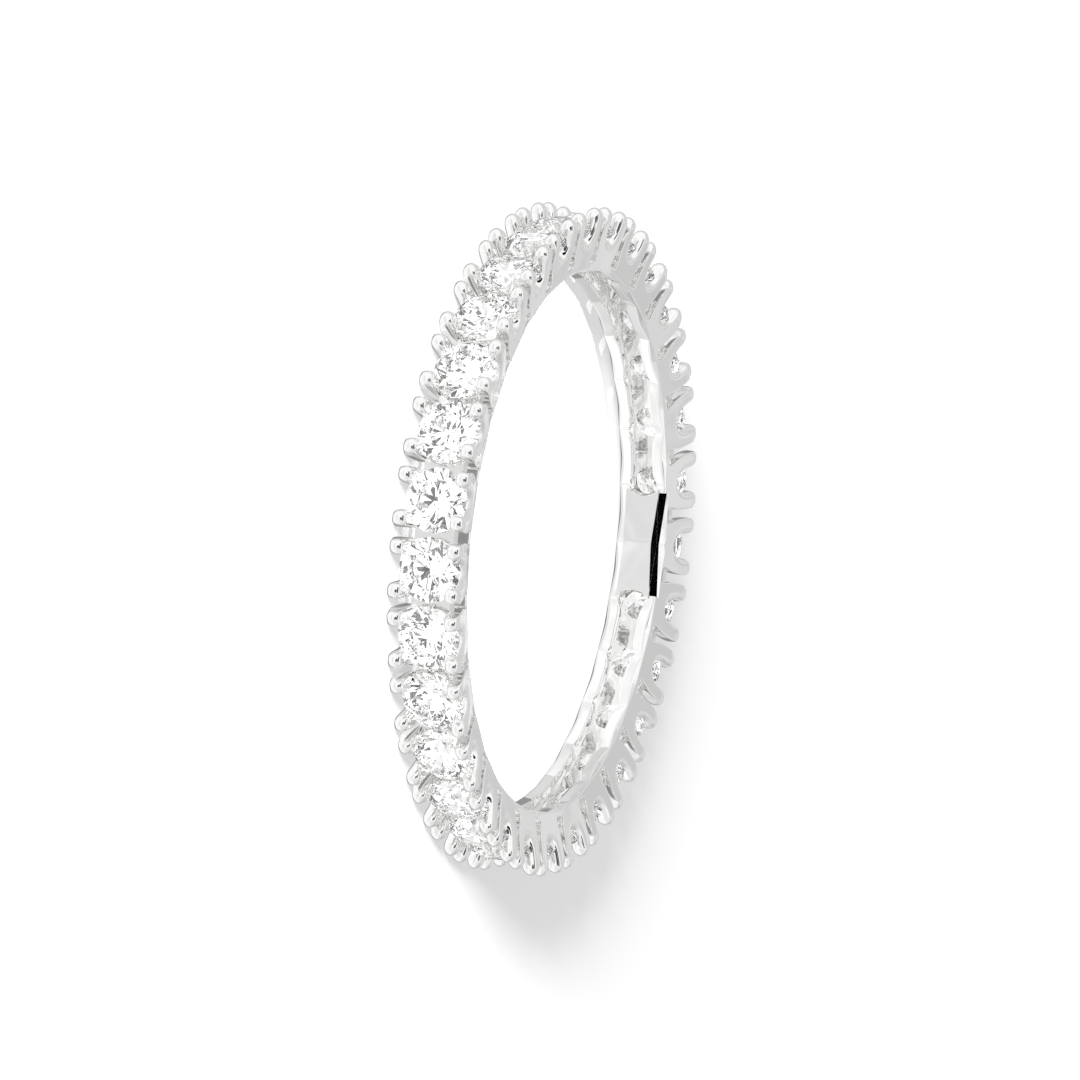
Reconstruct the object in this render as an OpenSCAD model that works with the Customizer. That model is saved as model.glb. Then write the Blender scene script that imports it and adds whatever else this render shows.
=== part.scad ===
// Full eternity ring: round stones all the way round, each held by four claws of its own.
// The ring lies on its side, +Z along the finger hole, and its lower claws stand on Z = 0.
// Stone 1 is on +X, over the plain plate inside the ring, and the count runs anticlockwise.

/* [Band] */
// Diameter of the finger hole
finger_d = 17.2; // [14:0.1:23]
// Thickness of each rail where it is thinnest, under the gaps between forks
rail_h = 0.28; // [0.2:0.01:0.5]
// Width of each rail at the finger
rail_w = 0.39; // [0.28:0.01:0.6]
// Width of the open gallery between the two rails
gallery_w = 0.77; // [0.6:0.01:1.2]
// Chamfer along the rails' outer edges at the finger
rail_chamfer = 0.1; // [0.03:0.01:0.15]

/* [Stones] */
// Diameter of each round stone over its girdle
stone_d = 2.05; // [1.6:0.05:3]
// Least gap between the girdles of two neighbouring stones
stone_gap = 0.1; // [0.05:0.01:0.4]
// Thickness of the girdle
girdle_t = 0.05; // [0.02:0.01:0.1]
// Height of a stone's point above the finger
culet_rise = 0.445; // [0.35:0.005:1]
// Gap between a stone and the metal of its seat
seat_gap = 0.02; // [0.01:0.005:0.04]

/* [Claws] */
// Diameter of each claw
claw_d = 0.51; // [0.4:0.01:0.6]
// Distance from a stone's edge out to the middle of a claw's tip
claw_out = 0.15; // [0.1:0.01:0.25]
// Height of the middle of a claw's tip above the girdle
claw_rise = 0.43; // [0.3:0.01:0.7]
// Angle at the stone from the ring's own direction round to a claw
claw_angle = 54; // [48:1:58]
// Depth of the round notch between the two claws of one fork
notch_h = 0.985; // [0.7:0.005:1.2]
// Width of the opening between two forks where it meets the rail
gap_w = 0.64; // [0.3:0.01:0.8]
// Height above the rail at which that opening has narrowed to a slit
gap_neck_h = 0.52; // [0.3:0.01:0.8]
// Width of the slit there
gap_neck_w = 0.32; // [0.15:0.01:0.4]

/* [Seat band] */
// Thickness of the pierced band that the stones sit in
seat_h = 0.35; // [0.2:0.01:0.45]
// Depth of the band's outer face below the girdles
seat_drop = 0.16; // [0.1:0.01:0.25]
// Diameter of the round hole under each stone
azure_d = 0.9; // [0.6:0.01:1]

/* [Plate] */
// Thickness of the plain plate that closes the gallery under stone 1
plate_h = 0.3; // [0.15:0.01:0.35]
// Chamfer along the plate's outer edges at the finger
plate_chamfer = 0.2; // [0.1:0.01:0.25]

/* [Hidden] */
$fn = 48;
// Facets of the round surfaces that run all the way round the ring
ring_fn = 180;

// Brilliant cut, as shares of the stone's diameter
crown_share = 0.15;
pavilion_share = 0.43;
table_share = 0.57;
star_share = 0.79;
lower_share = 0.22;
mains = 8;
// Turn of each stone in its seat from the last one
stone_turn = 17;

finger_r = finger_d / 2;
stone_r = stone_d / 2;
claw_r = claw_d / 2;
crown_h = crown_share * stone_d;
pavilion_h = pavilion_share * stone_d;
table_r = table_share * stone_r;
star_r = star_share * stone_r;
// Height over the girdle of a crown kite's side corners, which lie in the kite's own plane
star_h = crown_h * (stone_r - star_r * cos(180 / mains)) / (stone_r - table_r);

// Radii from the ring's axis, and the number of stones that fills the circle
girdle_r = finger_r + culet_rise + pavilion_h + girdle_t / 2;
stone_count = floor(180 / asin((stone_d + stone_gap) / (2 * girdle_r)));
pitch = 360 / stone_count;

// Middle of a claw's tip: along the ring, out from the axis, and to each side of the mid-plane
claw_x = (stone_r + claw_out) * cos(claw_angle);
claw_y = girdle_r + claw_rise;
claw_z = (stone_r + claw_out) * sin(claw_angle);
tip_r = norm([claw_x, claw_y]);
claw_turn = atan(claw_x / claw_y);
// How far the band runs into the fences' walls, and how far round shapes overlap flat ones
bite = 0.06;
lap = 0.004;
far = 1;
mid_z = claw_z + claw_r - lap;

rail_in = gallery_w / 2;
rail_out = rail_in + rail_w;
gap_floor = finger_r + rail_h;
gap_tip_w = 2 * (tip_r * sin(pitch / 2 - claw_turn) - claw_r);
notch_r = claw_x - claw_r;
seat_top = girdle_r - seat_drop;

function stone_name(i) = str("stone_", i < 10 ? "0" : "", i);

// Distance of a fence's inner wall from the mid-plane, at radius r
function wall_in(r) = rail_in + (claw_z - claw_r - rail_in) * (r - finger_r) / (tip_r - finger_r);

// Stands a shape's Y axis along the ring's radius at stone i, counted from 0
module at_stone(i) rotate(i * pitch - 90) children();

// Cross-section of the upper fence: radius along X, height over the mid-plane along Y
module fence_profile() {
    half = claw_r - lap;
    difference() {
        polygon([
            [finger_r, rail_in],
            [finger_r, rail_out - rail_chamfer],
            [finger_r + rail_chamfer, rail_out],
            [tip_r, claw_z + half],
            [tip_r + claw_d, claw_z + half],
            [tip_r + claw_d, claw_z - half],
            [tip_r, claw_z - half]
        ]);
        translate([tip_r, claw_z]) difference() {
            translate([0, -claw_d]) square([2 * claw_d, 2 * claw_d]);
            circle(r = claw_r);
        }
    }
}

// Round-bottomed notch between the two claws of one fork
module notch() {
    bottom = claw_y + claw_r - notch_h;
    translate([0, bottom + notch_r]) {
        circle(r = notch_r + lap);
        translate([-notch_r - lap, 0]) square([2 * (notch_r + lap), notch_h + far]);
    }
}

// Opening between two forks: broad over the rail, a slit higher up
module fork_gap() {
    neck = gap_floor + gap_neck_h;
    polygon([
        [-gap_w / 2, gap_floor],
        [gap_w / 2, gap_floor],
        [gap_neck_w / 2, neck],
        [gap_tip_w / 2 + lap, tip_r],
        [gap_tip_w / 2 + lap, tip_r + far],
        [-gap_tip_w / 2 - lap, tip_r + far],
        [-gap_tip_w / 2 - lap, tip_r],
        [-gap_neck_w / 2, neck]
    ]);
}

// Outline of a fence seen along the finger: a disc with notches, gaps and round claw tips
module fence_outline() {
    difference() {
        circle(r = tip_r);
        for (i = [0:stone_count - 1]) {
            at_stone(i) notch();
            at_stone(i + 0.5) fork_gap();
        }
    }
    for (i = [0:stone_count - 1], side = [-1, 1])
        at_stone(i) translate([side * claw_x, claw_y]) circle(r = claw_r);
}

// Both fences of forks on their rails
module fences() {
    intersection() {
        rotate_extrude($fn = ring_fn) {
            fence_profile();
            mirror([0, 1]) fence_profile();
        }
        linear_extrude(2 * (mid_z + far), center = true) fence_outline();
    }
}

// Band between the fences, before the stones' seats are cut
module seat_band() {
    half = wall_in(seat_top) + bite;
    rotate_extrude($fn = ring_fn)
        translate([seat_top - seat_h, -half]) square([seat_h, 2 * half]);
}

// Room for one stone, its seat in the claws, and the hole under it down to radius floor_r
module stone_space(floor_r) {
    azure_r = azure_d / 2;
    wide = stone_r + seat_gap;
    side_h = girdle_t / 2 + seat_gap;
    azure_top = -side_h - (wide - azure_r) * pavilion_h / stone_r;
    crown_top = side_h + wide * star_h / (stone_r - star_r);
    rotate_extrude()
        polygon([
            [0, floor_r - girdle_r],
            [azure_r, floor_r - girdle_r],
            [azure_r, azure_top],
            [wide, -side_h],
            [wide, side_h],
            [0, crown_top]
        ]);
}

// Puts a stone's own frame, +Z out of its table, on the ring at stone i
module on_girdle(i) rotate(i * pitch) translate([girdle_r, 0, 0]) rotate([0, 90, 0]) children();

// The part of the ring from the stone before stone 1 to the stone after it
module plate_sector() {
    intersection() {
        children();
        linear_extrude(2 * mid_z, center = true)
            polygon([[0, 0], for (a = [-pitch, pitch]) 2 * finger_r * [cos(a), sin(a)]]);
    }
}

// Plain plate that closes the gallery under stone 1, before the holes beside it are cut
module plate() {
    half = rail_in + bite;
    plate_sector()
        rotate_extrude($fn = ring_fn)
            translate([finger_r, -half]) square([plate_h, 2 * half]);
}

// What the plate's two chamfers take off the rails beside it
module plate_chamfers() {
    c = plate_chamfer;
    plate_sector()
        rotate_extrude($fn = ring_fn)
            for (side = [0, 1])
                mirror([0, side])
                    polygon([
                        [finger_r - c, rail_out - 2 * c],
                        [finger_r + 2 * c, rail_out + c],
                        [finger_r - c, rail_out + c]
                    ]);
}

// All the metal, cast in one piece
module setting() {
    color("gainsboro")
    translate([0, 0, mid_z])
        difference() {
            union() {
                fences();
                seat_band();
                plate();
            }
            plate_chamfers();
            on_girdle(0) stone_space(finger_r + plate_h);
            for (i = [1:stone_count - 1]) on_girdle(i) stone_space(finger_r - far);
        }
}

// Ring of points about a stone's own axis
function ring_of(n, r, h, start) = [
    for (i = [0:n - 1])
        let (turn = start + i * 360 / n)
            [r * cos(turn), r * sin(turn), h]
];

// One round brilliant: table, stars, kites, girdle facets, pavilion mains and a point
module brilliant() {
    step = 360 / mains;
    lower_r = lower_share * stone_r;
    g = girdle_t / 2;
    // Where each pavilion main's side corner lies in the main's own plane
    lower_h = -g - pavilion_h + pavilion_h * lower_r * cos(step / 2) / stone_r;
    points = concat(
        ring_of(mains, table_r, g + crown_h, 0),
        ring_of(mains, star_r, g + star_h, step / 2),
        ring_of(2 * mains, stone_r, g, 0),
        ring_of(2 * mains, stone_r, -g, 0),
        ring_of(mains, lower_r, lower_h, step / 2),
        [[0, 0, -g - pavilion_h]]
    );
    table_at = 0;
    star_at = mains;
    upper_at = 2 * mains;
    under_at = 4 * mains;
    lower_at = 6 * mains;
    culet_at = 7 * mains;
    function table(i) = table_at + i % mains;
    function star(i) = star_at + (i + mains) % mains;
    function upper(i) = upper_at + i % (2 * mains);
    function under(i) = under_at + i % (2 * mains);
    function lower(i) = lower_at + (i + mains) % mains;
    faces = concat(
        [[for (i = [mains - 1:-1:0]) table(i)]],
        [for (i = [0:mains - 1]) [table(i), table(i + 1), star(i)]],
        [for (i = [0:mains - 1]) [table(i), star(i), upper(2 * i), star(i - 1)]],
        [for (i = [0:mains - 1]) [star(i), upper(2 * i + 1), upper(2 * i)]],
        [for (i = [0:mains - 1]) [star(i), upper(2 * i + 2), upper(2 * i + 1)]],
        [for (i = [0:2 * mains - 1]) [upper(i), upper(i + 1), under(i + 1), under(i)]],
        [for (i = [0:mains - 1]) [lower(i), under(2 * i), under(2 * i + 1)]],
        [for (i = [0:mains - 1]) [lower(i), under(2 * i + 1), under(2 * i + 2)]],
        [for (i = [0:mains - 1]) [culet_at, lower(i - 1), under(2 * i), lower(i)]]
    );
    polyhedron(points, faces);
}

module stone(i) {
    color("aliceblue")
    translate([0, 0, mid_z])
    on_girdle(i - 1) rotate(i * stone_turn) brilliant();
}

setting();
for (i = [1:stone_count])
    stone(i);
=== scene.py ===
import math

import bmesh
import bpy
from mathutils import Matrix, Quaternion, Vector


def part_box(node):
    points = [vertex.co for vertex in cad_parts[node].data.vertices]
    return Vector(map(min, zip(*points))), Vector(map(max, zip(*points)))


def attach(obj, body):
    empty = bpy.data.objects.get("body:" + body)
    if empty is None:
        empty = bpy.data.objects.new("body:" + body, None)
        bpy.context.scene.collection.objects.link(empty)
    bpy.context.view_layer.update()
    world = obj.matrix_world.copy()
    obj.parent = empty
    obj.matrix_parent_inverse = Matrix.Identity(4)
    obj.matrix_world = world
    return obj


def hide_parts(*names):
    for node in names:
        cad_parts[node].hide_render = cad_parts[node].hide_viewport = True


# Full eternity ring: two fences of forked claws, the pierced band between them, the plate and the
# stones. The metal is drawn in millimetres about the ring's middle, with a stone on +Y, and brought
# to metres last.

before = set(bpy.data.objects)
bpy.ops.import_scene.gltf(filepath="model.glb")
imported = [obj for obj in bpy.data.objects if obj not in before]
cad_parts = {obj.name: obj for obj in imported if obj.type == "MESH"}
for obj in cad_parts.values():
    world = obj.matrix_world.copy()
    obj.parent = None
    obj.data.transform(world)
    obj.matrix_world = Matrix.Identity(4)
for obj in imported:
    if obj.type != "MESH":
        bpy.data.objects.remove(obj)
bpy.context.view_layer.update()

mmPerMetre = 1000
ring = {
    "stones": 29,
    "fingerRadius": 8.6,
    "girdleRadius": 9.95,
    "stoneRadius": 1.025,
    "girdle": 0.05,                 # thickness of a stone's edge
    "pavilionSlope": 0.86,
    "crownSlope": 0.8975,
    "seatGap": 0.02,
    "middle": mmPerMetre * (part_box("stone_01")[0].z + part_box("stone_01")[1].z) / 2,
}
pitch = 2 * math.pi / ring["stones"]
slack = 1e-4                        # corners closer than this are one


def clearSelection():
    if bpy.context.object and bpy.context.object.mode != "OBJECT":
        bpy.ops.object.mode_set(mode="OBJECT")
    bpy.ops.object.select_all(action="DESELECT")


def makeActive(piece):
    clearSelection()
    piece.select_set(True)
    bpy.context.view_layer.objects.active = piece


def openMesh(piece):
    makeActive(piece)
    bpy.ops.object.mode_set(mode="EDIT")
    bpy.ops.mesh.select_mode(type="VERT")
    bpy.ops.mesh.select_all(action="DESELECT")


def closeMesh():
    bpy.ops.object.mode_set(mode="OBJECT")


def pickCorners(piece, rule):
    bpy.ops.mesh.select_mode(type="VERT")
    bpy.ops.mesh.select_all(action="DESELECT")
    mesh = bmesh.from_edit_mesh(piece.data)
    for vert in mesh.verts:
        vert.select_set(rule(vert.co))
    mesh.select_flush_mode()
    bmesh.update_edit_mesh(piece.data)


def pickEdges(piece, rule):
    bpy.ops.mesh.select_mode(type="EDGE")
    bpy.ops.mesh.select_all(action="DESELECT")
    mesh = bmesh.from_edit_mesh(piece.data)
    for edge in mesh.edges:
        edge.select_set(rule(edge))
    bmesh.update_edit_mesh(piece.data)


def pickFaces(piece, rule):
    bpy.ops.mesh.select_mode(type="FACE")
    bpy.ops.mesh.select_all(action="DESELECT")
    mesh = bmesh.from_edit_mesh(piece.data)
    for face in mesh.faces:
        face.select_set(rule(face))
    bmesh.update_edit_mesh(piece.data)


def shiftCorner(piece, at, to):
    pickCorners(piece, lambda co: (co - at).length < slack)
    bpy.ops.transform.translate(value=to - at)


def applyAll(piece):
    makeActive(piece)
    for modifier in list(piece.modifiers):
        bpy.ops.object.modifier_apply(modifier=modifier.name)


def mergeDoubles(piece):
    openMesh(piece)
    bpy.ops.mesh.select_all(action="SELECT")
    bpy.ops.mesh.remove_doubles(threshold=slack)
    bpy.ops.mesh.normals_make_consistent(inside=False)
    closeMesh()


def newest(name):
    piece = bpy.context.object
    piece.name = name
    piece.data.name = name
    return piece


def copyRound(piece, first, count):
    # Copies what is drawn on +Y round the axis, beginning first pitches clockwise of it
    openMesh(piece)
    bpy.ops.mesh.select_all(action="SELECT")
    bpy.ops.transform.rotate(value=first * pitch, orient_axis="Z", center_override=(0, 0, 0))
    bpy.ops.mesh.spin(
        steps=count - 1, dupli=True, angle=(count - 1) * pitch, center=(0, 0, 0), axis=(0, 0, 1)
    )
    closeMesh()
    mergeDoubles(piece)


def cutAway(piece, cutter):
    cut = piece.modifiers.new("cut", "BOOLEAN")
    cut.operation = "DIFFERENCE"
    cut.solver = "EXACT"
    cut.object = cutter
    applyAll(piece)


def copyOf(piece, name):
    double = piece.copy()
    double.data = piece.data.copy()
    double.name = name
    double.data.name = name
    bpy.context.scene.collection.objects.link(double)
    return double


def isSectorEnd(face):
    return all(abs(abs(math.atan2(vert.co.x, vert.co.y)) - pitch / 2) < slack for vert in face.verts)


def openSectorEnds(piece):
    openMesh(piece)
    pickFaces(piece, isSectorEnd)
    bpy.ops.mesh.delete(type="ONLY_FACE")
    closeMesh()


def throwAway(piece):
    bpy.data.objects.remove(piece, do_unlink=True)


def finishMetal(piece, metal, smoothUpTo):
    # From millimetres on +Y to metres, with stone 1 on +X and the lower claws on the floor
    makeActive(piece)
    piece.rotation_euler = (0, 0, -math.pi / 2)
    piece.location = (0, 0, ring["middle"] / mmPerMetre)
    piece.scale = (1 / mmPerMetre, 1 / mmPerMetre, 1 / mmPerMetre)
    bpy.ops.object.transform_apply(location=True, rotation=True, scale=True)
    bpy.ops.object.shade_smooth_by_angle(angle=math.radians(smoothUpTo))
    weigh = piece.modifiers.new("evenShading", "WEIGHTED_NORMAL")
    weigh.keep_sharp = True
    applyAll(piece)
    piece.data.materials.clear()
    piece.data.materials.append(metal)
    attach(piece, "root")
    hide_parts("setting")


# Smudges, a group that the metal and the stones share, each with its own values

smudgeDetail = 3


def makeSmudges():
    group = bpy.data.node_groups.new("smudges", "ShaderNodeTree")
    for name in ("Scale", "From", "To", "Clean", "Smudged"):
        group.interface.new_socket(name, in_out="INPUT", socket_type="NodeSocketFloat")
    group.interface.new_socket("Amount", in_out="OUTPUT", socket_type="NodeSocketFloat")
    nodes, links = group.nodes, group.links
    given = nodes.new("NodeGroupInput")
    result = nodes.new("NodeGroupOutput")
    place = nodes.new("ShaderNodeTexCoord")
    noise = nodes.new("ShaderNodeTexNoise")
    noise.inputs["Detail"].default_value = smudgeDetail
    span = nodes.new("ShaderNodeMapRange")
    links.new(place.outputs["Object"], noise.inputs["Vector"])
    links.new(given.outputs["Scale"], noise.inputs["Scale"])
    links.new(noise.outputs["Fac"], span.inputs["Value"])
    sockets = {"From": "From Min", "To": "From Max", "Clean": "To Min", "Smudged": "To Max"}
    for name, socket in sockets.items():
        links.new(given.outputs[name], span.inputs[socket])
    links.new(span.outputs["Result"], result.inputs["Amount"])
    return group


smudges = makeSmudges()


def addSmudges(material, settings):
    node = material.node_tree.nodes.new("ShaderNodeGroup")
    node.node_tree = smudges
    for name, number in settings.items():
        node.inputs[name].default_value = number
    return node.outputs["Amount"]


# White metal

polish = {
    "colour": (0.93, 0.93, 0.925, 1),
    "smudges": {"Scale": 900, "From": 0.3, "To": 0.7, "Clean": 0.045, "Smudged": 0.1},
    "wave": 0.000009,               # depth and scale of the soft waves that hand polishing leaves
    "waveScale": 1100,
    "smoothUpTo": 30,               # edges with a sharper turn than this, in degrees, stay crisp
}


def makeMetal():
    metal = bpy.data.materials.new("polishedWhiteMetal")
    metal.use_nodes = True
    nodes, links = metal.node_tree.nodes, metal.node_tree.links
    shader = nodes["Principled BSDF"]
    shader.inputs["Base Color"].default_value = polish["colour"]
    shader.inputs["Metallic"].default_value = 1
    links.new(addSmudges(metal, polish["smudges"]), shader.inputs["Roughness"])
    place = nodes.new("ShaderNodeTexCoord")
    waves = nodes.new("ShaderNodeTexNoise")
    waves.inputs["Scale"].default_value = polish["waveScale"]
    waves.inputs["Detail"].default_value = 0
    bump = nodes.new("ShaderNodeBump")
    bump.inputs["Distance"].default_value = polish["wave"]
    links.new(place.outputs["Object"], waves.inputs["Vector"])
    links.new(waves.outputs["Fac"], bump.inputs["Height"])
    links.new(bump.outputs["Normal"], shader.inputs["Normal"])
    return metal


metal = makeMetal()

# Stone

cutStone = {
    "clear": (1, 1, 1, 1),
    "warm": (1, 0.998, 0.993, 1),
    "tintScale": 500,
    "bending": 2.42,
    "smudges": {"Scale": 1500, "From": 0.6, "To": 0.8, "Clean": 0, "Smudged": 0.02},
}


def makeStoneMaterial():
    glass = bpy.data.materials.new("cutStone")
    glass.use_nodes = True
    nodes, links = glass.node_tree.nodes, glass.node_tree.links
    shader = nodes["Principled BSDF"]
    shader.inputs["Transmission Weight"].default_value = 1
    shader.inputs["IOR"].default_value = cutStone["bending"]
    links.new(addSmudges(glass, cutStone["smudges"]), shader.inputs["Roughness"])
    place = nodes.new("ShaderNodeTexCoord")
    cloud = nodes.new("ShaderNodeTexNoise")
    cloud.inputs["Scale"].default_value = cutStone["tintScale"]
    tint = nodes.new("ShaderNodeMix")
    tint.data_type = "RGBA"
    tint.inputs["A"].default_value = cutStone["clear"]
    tint.inputs["B"].default_value = cutStone["warm"]
    links.new(place.outputs["Object"], cloud.inputs["Vector"])
    links.new(cloud.outputs["Fac"], tint.inputs["Factor"])
    links.new(tint.outputs["Result"], shader.inputs["Base Color"])
    return glass


stoneMaterial = makeStoneMaterial()
for name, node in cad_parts.items():
    if name.startswith("stone"):
        node.data.materials.clear()
        node.data.materials.append(stoneMaterial)
print("stones", ring["stones"])

# Drill, which clears the room for a stone and its seat

drill = {
    "holeRadius": 0.47,
    "floor": -1.95,                 # from the girdle down past the finger
    "crownEnd": 0.3,
    "sides": 48,
}


def makeDrill():
    # Drawn standing on Z, with the stone's girdle at the origin
    wide = ring["stoneRadius"] + ring["seatGap"]
    edge = ring["girdle"] / 2 + ring["seatGap"]
    neck = -edge - (wide - drill["holeRadius"]) * ring["pavilionSlope"]
    top = edge + (wide - drill["crownEnd"]) * ring["crownSlope"]
    bpy.ops.mesh.primitive_circle_add(
        vertices=drill["sides"], radius=drill["holeRadius"], fill_type="NGON",
        location=(0, 0, drill["floor"]),
    )
    piece = newest("drill")
    bpy.ops.object.transform_apply(location=True)
    openMesh(piece)
    bpy.ops.mesh.select_all(action="SELECT")
    height, radius = drill["floor"], drill["holeRadius"]
    outline = [(neck, drill["holeRadius"]), (-edge, wide), (edge, wide), (top, drill["crownEnd"])]
    for nextHeight, nextRadius in outline:
        bpy.ops.mesh.extrude_region_move(TRANSFORM_OT_translate={"value": (0, 0, nextHeight - height)})
        grow = nextRadius / radius
        bpy.ops.transform.resize(value=(grow, grow, 1))
        height, radius = nextHeight, nextRadius
    closeMesh()
    piece.rotation_euler = (-math.pi / 2, 0, 0)
    piece.location = (0, ring["girdleRadius"], 0)
    makeActive(piece)
    bpy.ops.object.transform_apply(location=True, rotation=True, scale=True)
    mergeDoubles(piece)
    return piece


oneDrill = makeDrill()

# Plate that closes the gallery under stone 1, and the deep bevel beside it

plate = {
    "pitches": 2,                   # its length, with a kink between them
    "inside": 8.643,                # at the forks' middles, a hair proud of the rails
    "thickness": 0.3,
    "halfWidth": 0.556,
    "endRadius": 0.8,
    "endAt": 2.355,                 # along the finger surface from the plate's middle
    "endSides": 64,
    "endDepth": 2,
    "rimBevel": 0.02,
    "smoothUpTo": 13,
    # Outline of the bevel's cutter at its two ends: out, height; it dips at its middle
    "bevel": [(8.2, 0.57), (8.64, 0.57), (8.85, 0.78), (8.89, 0.99), (8.2, 0.99)],
    "bevelDip": 0.17,
    "bevelReach": 0.905,            # how far it runs to each side, in pitches
    "proud": 0.003,                 # how far the plate stands over the rail's bevel
}


def makeBevelCutter():
    # Takes the deep bevel off the upper rail and the plate, from fork to fork past stone 1
    bpy.ops.mesh.primitive_circle_add(vertices=len(plate["bevel"]), radius=1, fill_type="NOTHING")
    cutter = newest("bevelCutter")
    openMesh(cutter)
    starts = [vert.co.copy() for vert in bmesh.from_edit_mesh(cutter.data).verts]
    for start, (out, height) in zip(starts, plate["bevel"]):
        shiftCorner(cutter, start, Vector((0, out, height)))
    turn = plate["bevelReach"] * pitch
    bpy.ops.mesh.select_all(action="SELECT")
    bpy.ops.transform.rotate(value=-turn, orient_axis="Z", center_override=(0, 0, 0))
    bpy.ops.mesh.spin(steps=2, angle=2 * turn, center=(0, 0, 0), axis=(0, 0, 1))
    pickEdges(cutter, lambda edge: edge.is_boundary)
    bpy.ops.mesh.fill_holes(sides=0)
    pickCorners(cutter, lambda co: abs(co.x) < slack)
    bpy.ops.transform.translate(value=(0, 0, -plate["bevelDip"]))
    closeMesh()
    mergeDoubles(cutter)
    return cutter


bevelCutter = makeBevelCutter()


def isArchedRim(edge):
    # On the finger's side, and neither along the rails nor the crease at the middle
    a, b = [vert.co for vert in edge.verts]
    alongRail = all(abs(abs(co.z) - plate["halfWidth"]) < slack for co in (a, b))
    crease = all(abs(co.x) < slack for co in (a, b))
    return all(co.xy.length < plate["inside"] + slack for co in (a, b)) and not alongRail and not crease


def makePlate():
    bpy.ops.mesh.primitive_plane_add(size=1, rotation=(0, math.pi / 2, 0))
    piece = newest("plate")
    piece.location = (0, plate["inside"] + plate["thickness"] / 2, 0)
    piece.scale = (2 * plate["halfWidth"], plate["thickness"], 1)
    bpy.ops.object.transform_apply(location=True, rotation=True, scale=True)
    openMesh(piece)
    bpy.ops.mesh.select_all(action="SELECT")
    length = plate["pitches"] * pitch
    bpy.ops.transform.rotate(value=-length / 2, orient_axis="Z", center_override=(0, 0, 0))
    bpy.ops.mesh.delete(type="ONLY_FACE")
    bpy.ops.mesh.select_all(action="SELECT")
    bpy.ops.mesh.spin(steps=plate["pitches"], angle=length, center=(0, 0, 0), axis=(0, 0, 1))
    pickEdges(piece, lambda edge: edge.is_boundary)
    bpy.ops.mesh.fill_holes(sides=0)
    closeMesh()
    mergeDoubles(piece)
    turn = plate["endAt"] / plate["inside"]
    for side in (-1, 1):
        bpy.ops.mesh.primitive_cylinder_add(
            vertices=plate["endSides"], radius=plate["endRadius"], depth=plate["endDepth"],
            location=(side * plate["inside"] * math.sin(turn), plate["inside"] * math.cos(turn), 0),
            rotation=(math.pi / 2, 0, -side * turn),
        )
        end = newest("plateEnd")
        cutAway(piece, end)
        throwAway(end)
    openMesh(piece)
    pickEdges(piece, isArchedRim)
    bpy.ops.mesh.bevel(offset=plate["rimBevel"], segments=2, affect="EDGES")
    closeMesh()
    higher = copyOf(bevelCutter, "bevelAbove")
    openMesh(higher)
    bpy.ops.mesh.select_all(action="SELECT")
    bpy.ops.transform.translate(value=(0, 0, plate["proud"]))
    closeMesh()
    cutAway(piece, higher)
    throwAway(higher)
    return piece


plateUnderOne = makePlate()
finishMetal(plateUnderOne, metal, plate["smoothUpTo"])
print("plate", len(plateUnderOne.data.polygons))

# Fences of forks

fork = {
    # Corners of half a fork seen along the finger, from its middle out to its side: across, out
    "rows": [
        [(0, 8.651), (0.2, 8.629), (0.37, 8.611), (0.64, 8.581), (0.92981, 8.54959)],
        [(0, 8.9), (0.21, 8.9), (0.39, 8.895), (0.632, 8.85), (0.96008, 8.82796)],
        [(0, 9.36), (0.26, 9.36), (0.56, 9.36), (0.857, 9.362), None],
        [(0, 9.68), (0.21, 9.73), (0.58, 9.62), (0.887, 9.6), None],
        [None, (0.37, 9.88), (0.66, 9.85), (0.917, 9.8), None],
        [None, (0.4, 10.12), (0.68, 10.1), (0.937, 10.05), None],
        [None, (0.4, 10.38), (0.685, 10.38), (0.946, 10.38), None],
        [None, (0.475, 10.62), (0.688, 10.71), (0.892, 10.62), None],
    ],
    # Where the front face's corners go that are rounded off towards the notch and over the dome
    "frontRound": {
        (0, 9.68): (0, 9.3), (0.21, 9.73): (0.24, 9.38), (0.37, 9.88): (0.43, 9.78),
        (0.4, 10.12): (0.45, 10.11), (0.4, 10.38): (0.46, 10.36), (0.685, 10.38): (0.69, 10.37),
        (0.475, 10.62): (0.52, 10.54), (0.688, 10.71): (0.69, 10.6), (0.892, 10.62): (0.86, 10.54),
    },
    "frontHeight": 0.777,           # over the ring's middle, at the finger
    "frontSlope": 0.238,
    "backHeight": 0.386,
    "backSlope": 0.173,
    "railBack": 0.33,
    "railTop": 9.0,
    "scallop": 0.46,
    "fingerLimit": 8.7,             # corners nearer the axis than this lie on the finger
    "railTilt": 0.05,               # how much further out the finger faces are at their backs
    "chamferOut": (0.035, 0.15),    # at a fork's middle and under the gaps
    "chamferDown": (0.015, 0.08),
    "tipLimit": 10.5,               # corners further out than this are on the dome
    "tipHeight": 0.951,
    "tipRise": 0.2,
    "tipDrop": 0.1,
    "gapCorner": (0.632, 8.85),
    "gapRound": 0.1,
    "rimLimit": 9.5,                # the back rim is crisp below this and round above
    "rimBevel": 0.036,
    "rimAngle": 40,                 # in degrees, from which a rim is bevelled
    "smoothing": 2,
}
# A fork is drawn far apart, on a wide grid and three levels, then each corner goes to its place
gridStep = 100
gridSlack = 1                       # places on the grid or its levels closer than this are one
backLevel, middleLevel, frontLevel = 0, 20, 40
wallLimit = 0.5                     # a wall's normal rises less than this


def frontAt(out):
    return fork["frontHeight"] + fork["frontSlope"] * (out - ring["fingerRadius"])


def backAt(across, out):
    # The rails' inner edges are scalloped by the holes under the stones
    if out < fork["railTop"]:
        return math.sqrt(max(fork["scallop"] ** 2 - across ** 2, fork["railBack"] ** 2))
    return fork["backHeight"] + fork["backSlope"] * (out - ring["fingerRadius"])


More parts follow.
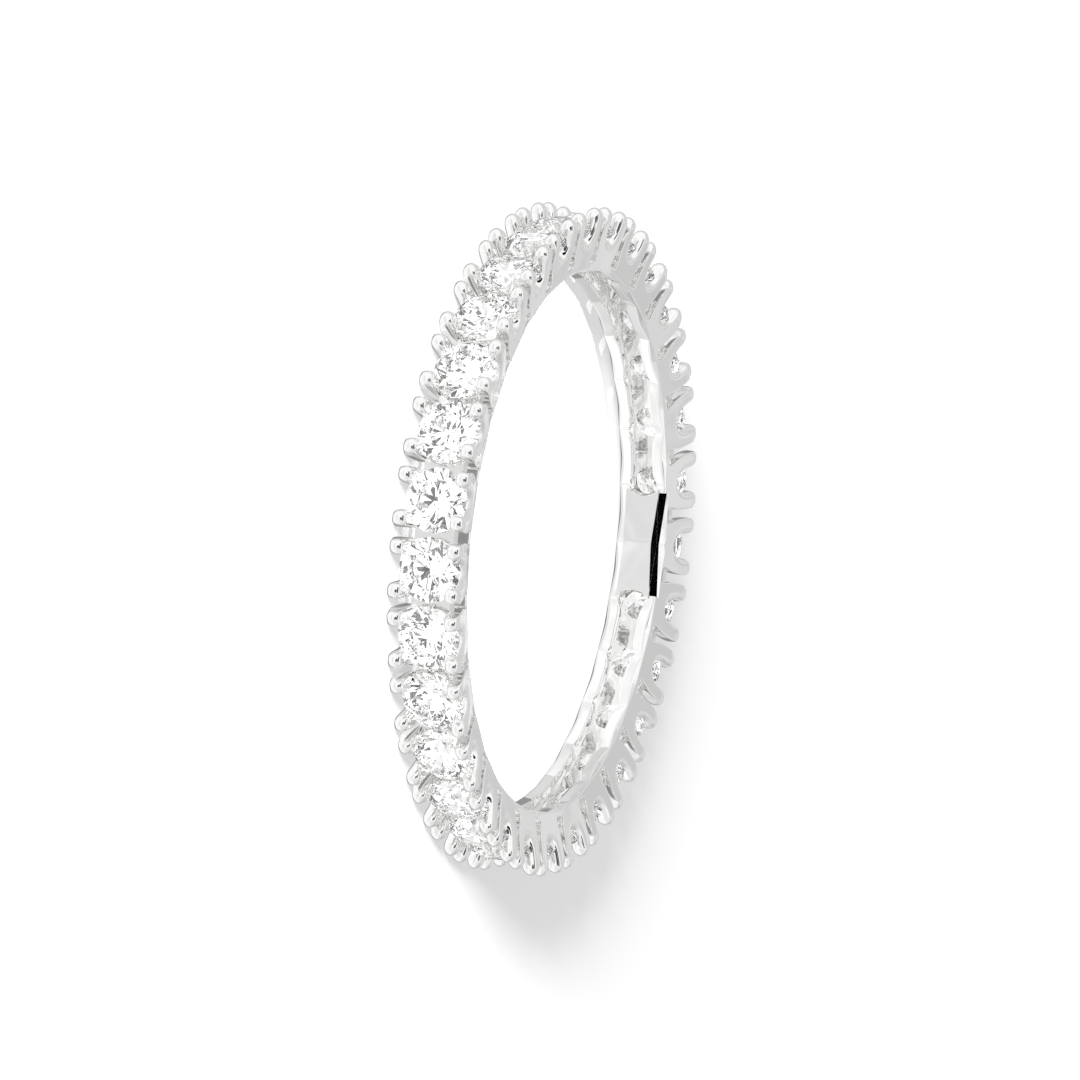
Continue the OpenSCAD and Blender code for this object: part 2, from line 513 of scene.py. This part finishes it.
def partWay(ends, share):
    return ends[0] + (ends[1] - ends[0]) * share


def settledPlace(co):
    # Where a corner of the levelled sheet belongs
    across, out = co.x, co.y
    isFront = co.z > frontLevel - gridSlack
    isBack = co.z < backLevel + gridSlack
    if isFront:
        for corner, place in fork["frontRound"].items():
            if math.dist(corner, (across, out)) < slack:
                across, out = place
    if co.y > fork["tipLimit"]:
        if isBack:
            out -= fork["tipDrop"]
        rise = fork["tipRise"] if isFront else -fork["tipRise"] if isBack else 0
        return Vector((across, out, fork["tipHeight"] + rise))
    if isBack:
        grow = 1 + fork["railTilt"] / out if out < fork["fingerLimit"] else 1
        return Vector((across * grow, out * grow, backAt(across, out)))
    if out < fork["fingerLimit"]:
        share = across / fork["rows"][0][-1][0]
        if isFront:
            grow = 1 + partWay(fork["chamferOut"], share) / out
            return Vector((across * grow, out * grow, frontAt(out * grow)))
        return Vector((across, out, frontAt(out) - partWay(fork["chamferDown"], share)))
    if isFront:
        return Vector((across, out, frontAt(out)))
    return Vector((across, out, (frontAt(out) + backAt(across, out)) / 2))


def isOnSectorEdge(co):
    return abs(co.x * math.cos(pitch / 2) - co.y * math.sin(pitch / 2)) < slack


def isUpright(edge):
    a, b = edge.verts
    return abs(a.co.z - b.co.z) > gridSlack


def isRimAt(edge, level):
    walls = [abs(face.normal.z) for face in edge.link_faces]
    return (len(walls) == 2 and min(walls) < wallLimit < max(walls)
            and all(abs(vert.co.z - level) < gridSlack for vert in edge.verts))


def sharpen(piece, rule):
    pickEdges(piece, rule)
    bpy.ops.transform.edge_crease(value=1)


def makeHalfFork():
    # A flat grid whose corners are set one by one, then raised to three levels
    rows = len(fork["rows"]) - 1
    columns = len(fork["rows"][0]) - 1
    bpy.ops.mesh.primitive_grid_add(x_subdivisions=columns, y_subdivisions=rows, size=1)
    half = newest("fork")
    openMesh(half)
    bpy.ops.mesh.select_all(action="SELECT")
    bpy.ops.transform.translate(value=(0.5, 0.5, 0))
    bpy.ops.transform.resize(
        value=(gridStep * columns, gridStep * rows, 1), center_override=(0, 0, 0)
    )
    empty = []
    for row in range(rows):
        for column in range(columns):
            around = [fork["rows"][row + i][column + j] for i in (0, 1) for j in (0, 1)]
            if None in around:
                empty.append(Vector((column + 0.5, row + 0.5, 0)) * gridStep)
    pickFaces(half, lambda face: any(
        (face.calc_center_median() - at).length < gridSlack for at in empty))
    bpy.ops.mesh.delete(type="FACE")
    for row, places in enumerate(fork["rows"]):
        for column, place in enumerate(places):
            if place:
                shiftCorner(half, Vector((column, row, 0)) * gridStep, Vector((*place, 0)))
    for level in (backLevel, middleLevel):
        pickFaces(half, lambda face: abs(face.calc_center_median().z - level) < gridSlack)
        bpy.ops.mesh.extrude_region_move(TRANSFORM_OT_translate={"value": (0, 0, middleLevel)})
    pickFaces(half, lambda face: all(abs(vert.co.x) < slack for vert in face.verts)
              or all(isOnSectorEdge(vert.co) for vert in face.verts))
    bpy.ops.mesh.delete(type="FACE")
    bpy.ops.mesh.select_all(action="SELECT")
    bpy.ops.mesh.normals_make_consistent(inside=False)

    # The gap's corners are rounded, and the rims kept crisp, except round the claws' backs and domes
    corner = Vector(fork["gapCorner"])
    pickEdges(half, lambda edge: isUpright(edge) and (edge.verts[0].co.xy - corner).length < slack)
    bpy.ops.mesh.bevel(offset=fork["gapRound"], segments=1, affect="EDGES")
    softened = [Vector(corner) for corner in fork["frontRound"]]
    sharpen(half, lambda edge: isRimAt(edge, frontLevel) and not any(
        (vert.co.xy - corner).length < slack for vert in edge.verts for corner in softened))
    sharpen(half, lambda edge: isRimAt(edge, backLevel)
            and all(vert.co.y < fork["rimLimit"] for vert in edge.verts))
    sharpen(half, lambda edge: all(
        abs(vert.co.z - middleLevel) < gridSlack and vert.co.y < fork["fingerLimit"]
        for vert in edge.verts))
    sharpen(half, lambda edge: isUpright(edge) and all(
        abs(vert.co.x) < slack and vert.co.y < fork["fingerLimit"] for vert in edge.verts))
    for start in [vert.co.copy() for vert in bmesh.from_edit_mesh(half.data).verts]:
        shiftCorner(half, start, settledPlace(start))
    closeMesh()
    return half


def makeFence(drillPiece):
    fence = makeHalfFork()
    whole = fence.modifiers.new("otherHalf", "MIRROR")
    whole.merge_threshold = slack
    applyAll(fence)
    copyRound(fence, -1, 3)
    smooth = fence.modifiers.new("smooth", "SUBSURF")
    smooth.levels = smooth.render_levels = fork["smoothing"]
    rims = fence.modifiers.new("rims", "BEVEL")
    rims.width = fork["rimBevel"]
    rims.segments = 2
    rims.limit_method = "ANGLE"
    rims.angle_limit = math.radians(fork["rimAngle"])
    applyAll(fence)

    # Only the middle fork is kept, its rail's ends closed while the seat is cut
    openMesh(fence)
    pickFaces(fence, lambda face: abs(math.atan2(
        face.calc_center_median().x, face.calc_center_median().y)) > pitch / 2)
    bpy.ops.mesh.delete(type="FACE")
    pickEdges(fence, lambda edge: edge.is_boundary)
    bpy.ops.mesh.fill_holes(sides=0)
    closeMesh()
    cutAway(fence, drillPiece)
    openSectorEnds(fence)
    copyRound(fence, 0, ring["stones"])
    return fence


fenceUpper = makeFence(oneDrill)
fenceUpper.name = "fence_upper"
fenceLower = copyOf(fenceUpper, "fence_lower")
openMesh(fenceLower)
bpy.ops.mesh.select_all(action="SELECT")
bpy.ops.transform.resize(value=(1, 1, -1), center_override=(0, 0, 0))
closeMesh()
mergeDoubles(fenceLower)
cutAway(fenceUpper, bevelCutter)
finishMetal(fenceUpper, metal, polish["smoothUpTo"])
finishMetal(fenceLower, metal, polish["smoothUpTo"])
print("fences", len(fenceUpper.data.polygons))

# Pierced band between the fences

band = {
    "inside": 9.44,
    "outside": 9.79,
    "halfWidth": 0.65,
    "facets": 6,                    # in each pitch
}


def makeBand(drillPiece):
    # One pitch is turned, closed and drilled, then opened again and copied round
    bpy.ops.mesh.primitive_plane_add(size=1, rotation=(0, math.pi / 2, 0))
    piece = newest("seat_band")
    piece.location = (0, (band["inside"] + band["outside"]) / 2, 0)
    piece.scale = (2 * band["halfWidth"], band["outside"] - band["inside"], 1)
    bpy.ops.object.transform_apply(location=True, rotation=True, scale=True)
    openMesh(piece)
    bpy.ops.mesh.select_all(action="SELECT")
    bpy.ops.transform.rotate(value=-pitch / 2, orient_axis="Z", center_override=(0, 0, 0))
    bpy.ops.mesh.delete(type="ONLY_FACE")
    bpy.ops.mesh.select_all(action="SELECT")
    bpy.ops.mesh.spin(steps=band["facets"], angle=pitch, center=(0, 0, 0), axis=(0, 0, 1))
    pickEdges(piece, lambda edge: edge.is_boundary)
    bpy.ops.mesh.fill_holes(sides=0)
    closeMesh()
    mergeDoubles(piece)
    cutAway(piece, drillPiece)
    openSectorEnds(piece)
    copyRound(piece, 0, ring["stones"])
    return piece


seatBand = makeBand(oneDrill)
finishMetal(seatBand, metal, polish["smoothUpTo"])
print("seat band", len(seatBand.data.polygons))
throwAway(oneDrill)
throwAway(bevelCutter)

# Floor and lamps

studio = {
    "floorSize": 3.0,
    "floorColour": (0.12, 0.12, 0.12, 1),
    "floorGlow": 0.62,
    "lampPower": 430.0,
    "lampSize": 0.45,
    "lampFrom": (-1.5, 0.7, 0.375),
    "spotPower": 70.0,              # a narrow spot from above, on the floor within the finger hole
    "spotHeight": 0.5,
    "spotRadius": 0.0088,
    "spotSize": 0.002,
}


def makeFloor():
    bpy.ops.mesh.primitive_plane_add(size=studio["floorSize"])
    floor = newest("floor")
    paper = bpy.data.materials.new("paleFloor")
    paper.use_nodes = True
    shader = paper.node_tree.nodes["Principled BSDF"]
    shader.inputs["Base Color"].default_value = studio["floorColour"]
    shader.inputs["Roughness"].default_value = 1
    shader.inputs["Specular IOR Level"].default_value = 0
    shader.inputs["Emission Color"].default_value = (1, 1, 1, 1)
    shader.inputs["Emission Strength"].default_value = studio["floorGlow"]
    floor.data.materials.append(paper)
    floor.visible_glossy = False
    floor.visible_transmission = False


makeFloor()


def makeLamps():
    bpy.ops.object.light_add(type="AREA", location=studio["lampFrom"])
    lamp = newest("lamp")
    lamp.data.size = studio["lampSize"]
    lamp.data.energy = studio["lampPower"]
    lamp.rotation_euler = Vector(studio["lampFrom"]).to_track_quat("Z", "Y").to_euler()
    bpy.ops.object.light_add(type="SPOT", location=(0, 0, studio["spotHeight"]))
    spot = newest("spot")
    spot.data.energy = studio["spotPower"]
    spot.data.shadow_soft_size = studio["spotSize"]
    spot.data.spot_size = 2 * math.atan(studio["spotRadius"] / studio["spotHeight"])
    for light in (lamp, spot):
        light.visible_glossy = False
        light.visible_transmission = False


makeLamps()
print("floor and lamps")

# Room, which only shows in the metal and the stones: tones, and the directions where each holds

room = {
    "white": 1.05,
    "behind": 0.7,
    "behindFrom": (-0.1, 0.6),
    "clouds": {"Scale": 7.0, "Detail": 1},
    "cloudRange": (0.35, 0.65),
    "cloudGreys": (0.88, 1.1),
    "table": 0.42,                  # below and beyond the ring
    "tableSides": (-0.6, -0.45, 0.45, 0.6),
    "tableTop": (-0.32, -0.16),
    "near": 0.84,                   # towards the camera
    "nearUpTo": (-0.85, -0.5),
    "nearHeights": (-0.55, -0.45, -0.25, -0.15),
    "low": 0.8,                     # towards -Y, which the photo's camera sees as down
    "lowUpTo": (-0.85, -0.1),
    "lowFoot": (-0.1, 0.1),
    "patch": 0.08,                  # a small dark patch that gives the specks on the claws
    "patchAt": (-0.77, -0.12, 0.627),
    "patchRim": (0.95, 0.965),
    "flag": 0,                      # a black flag that the bevel beside the plate mirrors
    "flagAcross": (0.936, 0, 0.351),
    "flagWidth": (-0.22, -0.14, 0.14, 0.22),
    "flagSides": (-0.42, -0.34, 0.34, 0.42),
    "flagUp": (-0.351, 0, 0.936),
    "flagFoot": (0.3, 0.5),
    "stoneWhite": 1.6,
    "stonePale": 0.95,              # what the stones see beyond the ring
    "stonePaleFrom": (0.1, 0.3),
    "card": 0.01,                   # dark cards that the stones see on the camera's side
    "cardScale": 3.2,
    "cardShare": (0.22, 0.23),
}


def makeRoom():
    world = bpy.data.worlds.new("studio")
    bpy.context.scene.world = world
    world.use_nodes = True
    nodes, links = world.node_tree.nodes, world.node_tree.links
    back = nodes["Background"]
    back.inputs["Color"].default_value = (1, 1, 1, 1)
    way = nodes.new("ShaderNodeTexCoord")

    def along(direction):
        dot = nodes.new("ShaderNodeVectorMath")
        dot.operation = "DOT_PRODUCT"
        dot.inputs[1].default_value = direction
        links.new(way.outputs["Generated"], dot.inputs[0])
        return dot.outputs["Value"]

    def ramp(value, start, end, low, high):
        span = nodes.new("ShaderNodeMapRange")
        span.interpolation_type = "SMOOTHSTEP"
        for name, number in (("From Min", start), ("From Max", end), ("To Min", low), ("To Max", high)):
            span.inputs[name].default_value = number
        links.new(value, span.inputs["Value"])
        return span.outputs["Result"]

    def times(a, b):
        step = nodes.new("ShaderNodeMath")
        step.operation = "MULTIPLY"
        links.new(a, step.inputs[0])
        links.new(b, step.inputs[1])
        return step.outputs["Value"]

    def between(value, first, start, end, last):
        return times(ramp(value, first, start, 0, 1), ramp(value, end, last, 1, 0))

    # For the metal: white and faintly clouded, with each tone laid over it in turn
    far, left, up = along((1, 0, 0)), along((0, 1, 0)), along((0, 0, 1))
    behind = ramp(far, *room["behindFrom"], 0, 1)
    table = times(behind, between(left, *room["tableSides"]))
    flagWidth = between(along(room["flagAcross"]), *room["flagWidth"])
    flag = times(flagWidth, between(left, *room["flagSides"]))
    tones = {
        "table": times(table, ramp(up, *room["tableTop"], 1, 0)),
        "near": times(ramp(far, *room["nearUpTo"], 1, 0), between(up, *room["nearHeights"])),
        "low": times(ramp(left, *room["lowUpTo"], 1, 0), ramp(up, *room["lowFoot"], 0, 1)),
        "patch": ramp(along(room["patchAt"]), *room["patchRim"], 0, 1),
        "flag": times(flag, ramp(along(room["flagUp"]), *room["flagFoot"], 0, 1)),
    }
    clouds = nodes.new("ShaderNodeTexNoise")
    for name, number in room["clouds"].items():
        clouds.inputs[name].default_value = number
    links.new(way.outputs["Generated"], clouds.inputs["Vector"])
    aroundMetal = times(
        ramp(behind, 0, 1, room["white"], room["behind"]),
        ramp(clouds.outputs["Fac"], *room["cloudRange"], *room["cloudGreys"]),
    )
    for name, mask in tones.items():
        aroundMetal = times(aroundMetal, ramp(mask, 0, 1, 1, room[name]))

    # For the stones: white, with dark cards seen here and there
    cards = nodes.new("ShaderNodeTexVoronoi")
    cards.inputs["Scale"].default_value = room["cardScale"]
    links.new(way.outputs["Generated"], cards.inputs["Vector"])
    split = nodes.new("ShaderNodeSeparateColor")
    links.new(cards.outputs["Color"], split.inputs["Color"])
    dark = ramp(split.outputs["Red"], *room["cardShare"], 1, 0)
    near = ramp(far, *room["stonePaleFrom"], 1, 0)
    aroundStones = times(
        ramp(near, 0, 1, room["stonePale"], room["stoneWhite"]),
        ramp(times(dark, near), 0, 1, 1, room["card"]),
    )
    ray = nodes.new("ShaderNodeLightPath")
    mix = nodes.new("ShaderNodeMix")
    links.new(ray.outputs["Is Transmission Ray"], mix.inputs["Factor"])
    links.new(aroundMetal, mix.inputs["A"])
    links.new(aroundStones, mix.inputs["B"])
    links.new(mix.outputs["Result"], back.inputs["Strength"])


makeRoom()
print("room")

# Camera

photoSide = 1080                    # in pixels
camera = {
    "azimuth": 178.614,
    "elevation": 20.537,
    "distance": 0.305,
    "lens": 320,
    "sensor": 36,
    "clip": (0.01, 10),
    "roll": 96.06,
    "shift": (-6.03 / photoSide, -0.75 / photoSide),
}


def makeCamera():
    around = math.radians(camera["azimuth"])
    above = math.radians(camera["elevation"])
    level = Vector((math.cos(around), math.sin(around), 0))
    toward = level * math.cos(above) + Vector((0, 0, math.sin(above)))
    middle = Vector((0, 0, ring["middle"] / mmPerMetre))
    bpy.ops.object.camera_add(location=middle + camera["distance"] * toward)
    eye = newest("camera")
    turn = toward.to_track_quat("Z", "Y") @ Quaternion((0, 0, 1), math.radians(camera["roll"]))
    eye.rotation_euler = turn.to_euler()
    eye.data.sensor_width = camera["sensor"]
    eye.data.lens = camera["lens"]
    eye.data.shift_x, eye.data.shift_y = camera["shift"]
    eye.data.clip_start, eye.data.clip_end = camera["clip"]
    bpy.context.scene.camera = eye


makeCamera()
bounces = 24                        # so that light finds its way out of a stone
bpy.context.scene.view_settings.view_transform = "Standard"
for limit in ("max_bounces", "glossy_bounces", "transmission_bounces"):
    setattr(bpy.context.scene.cycles, limit, bounces)
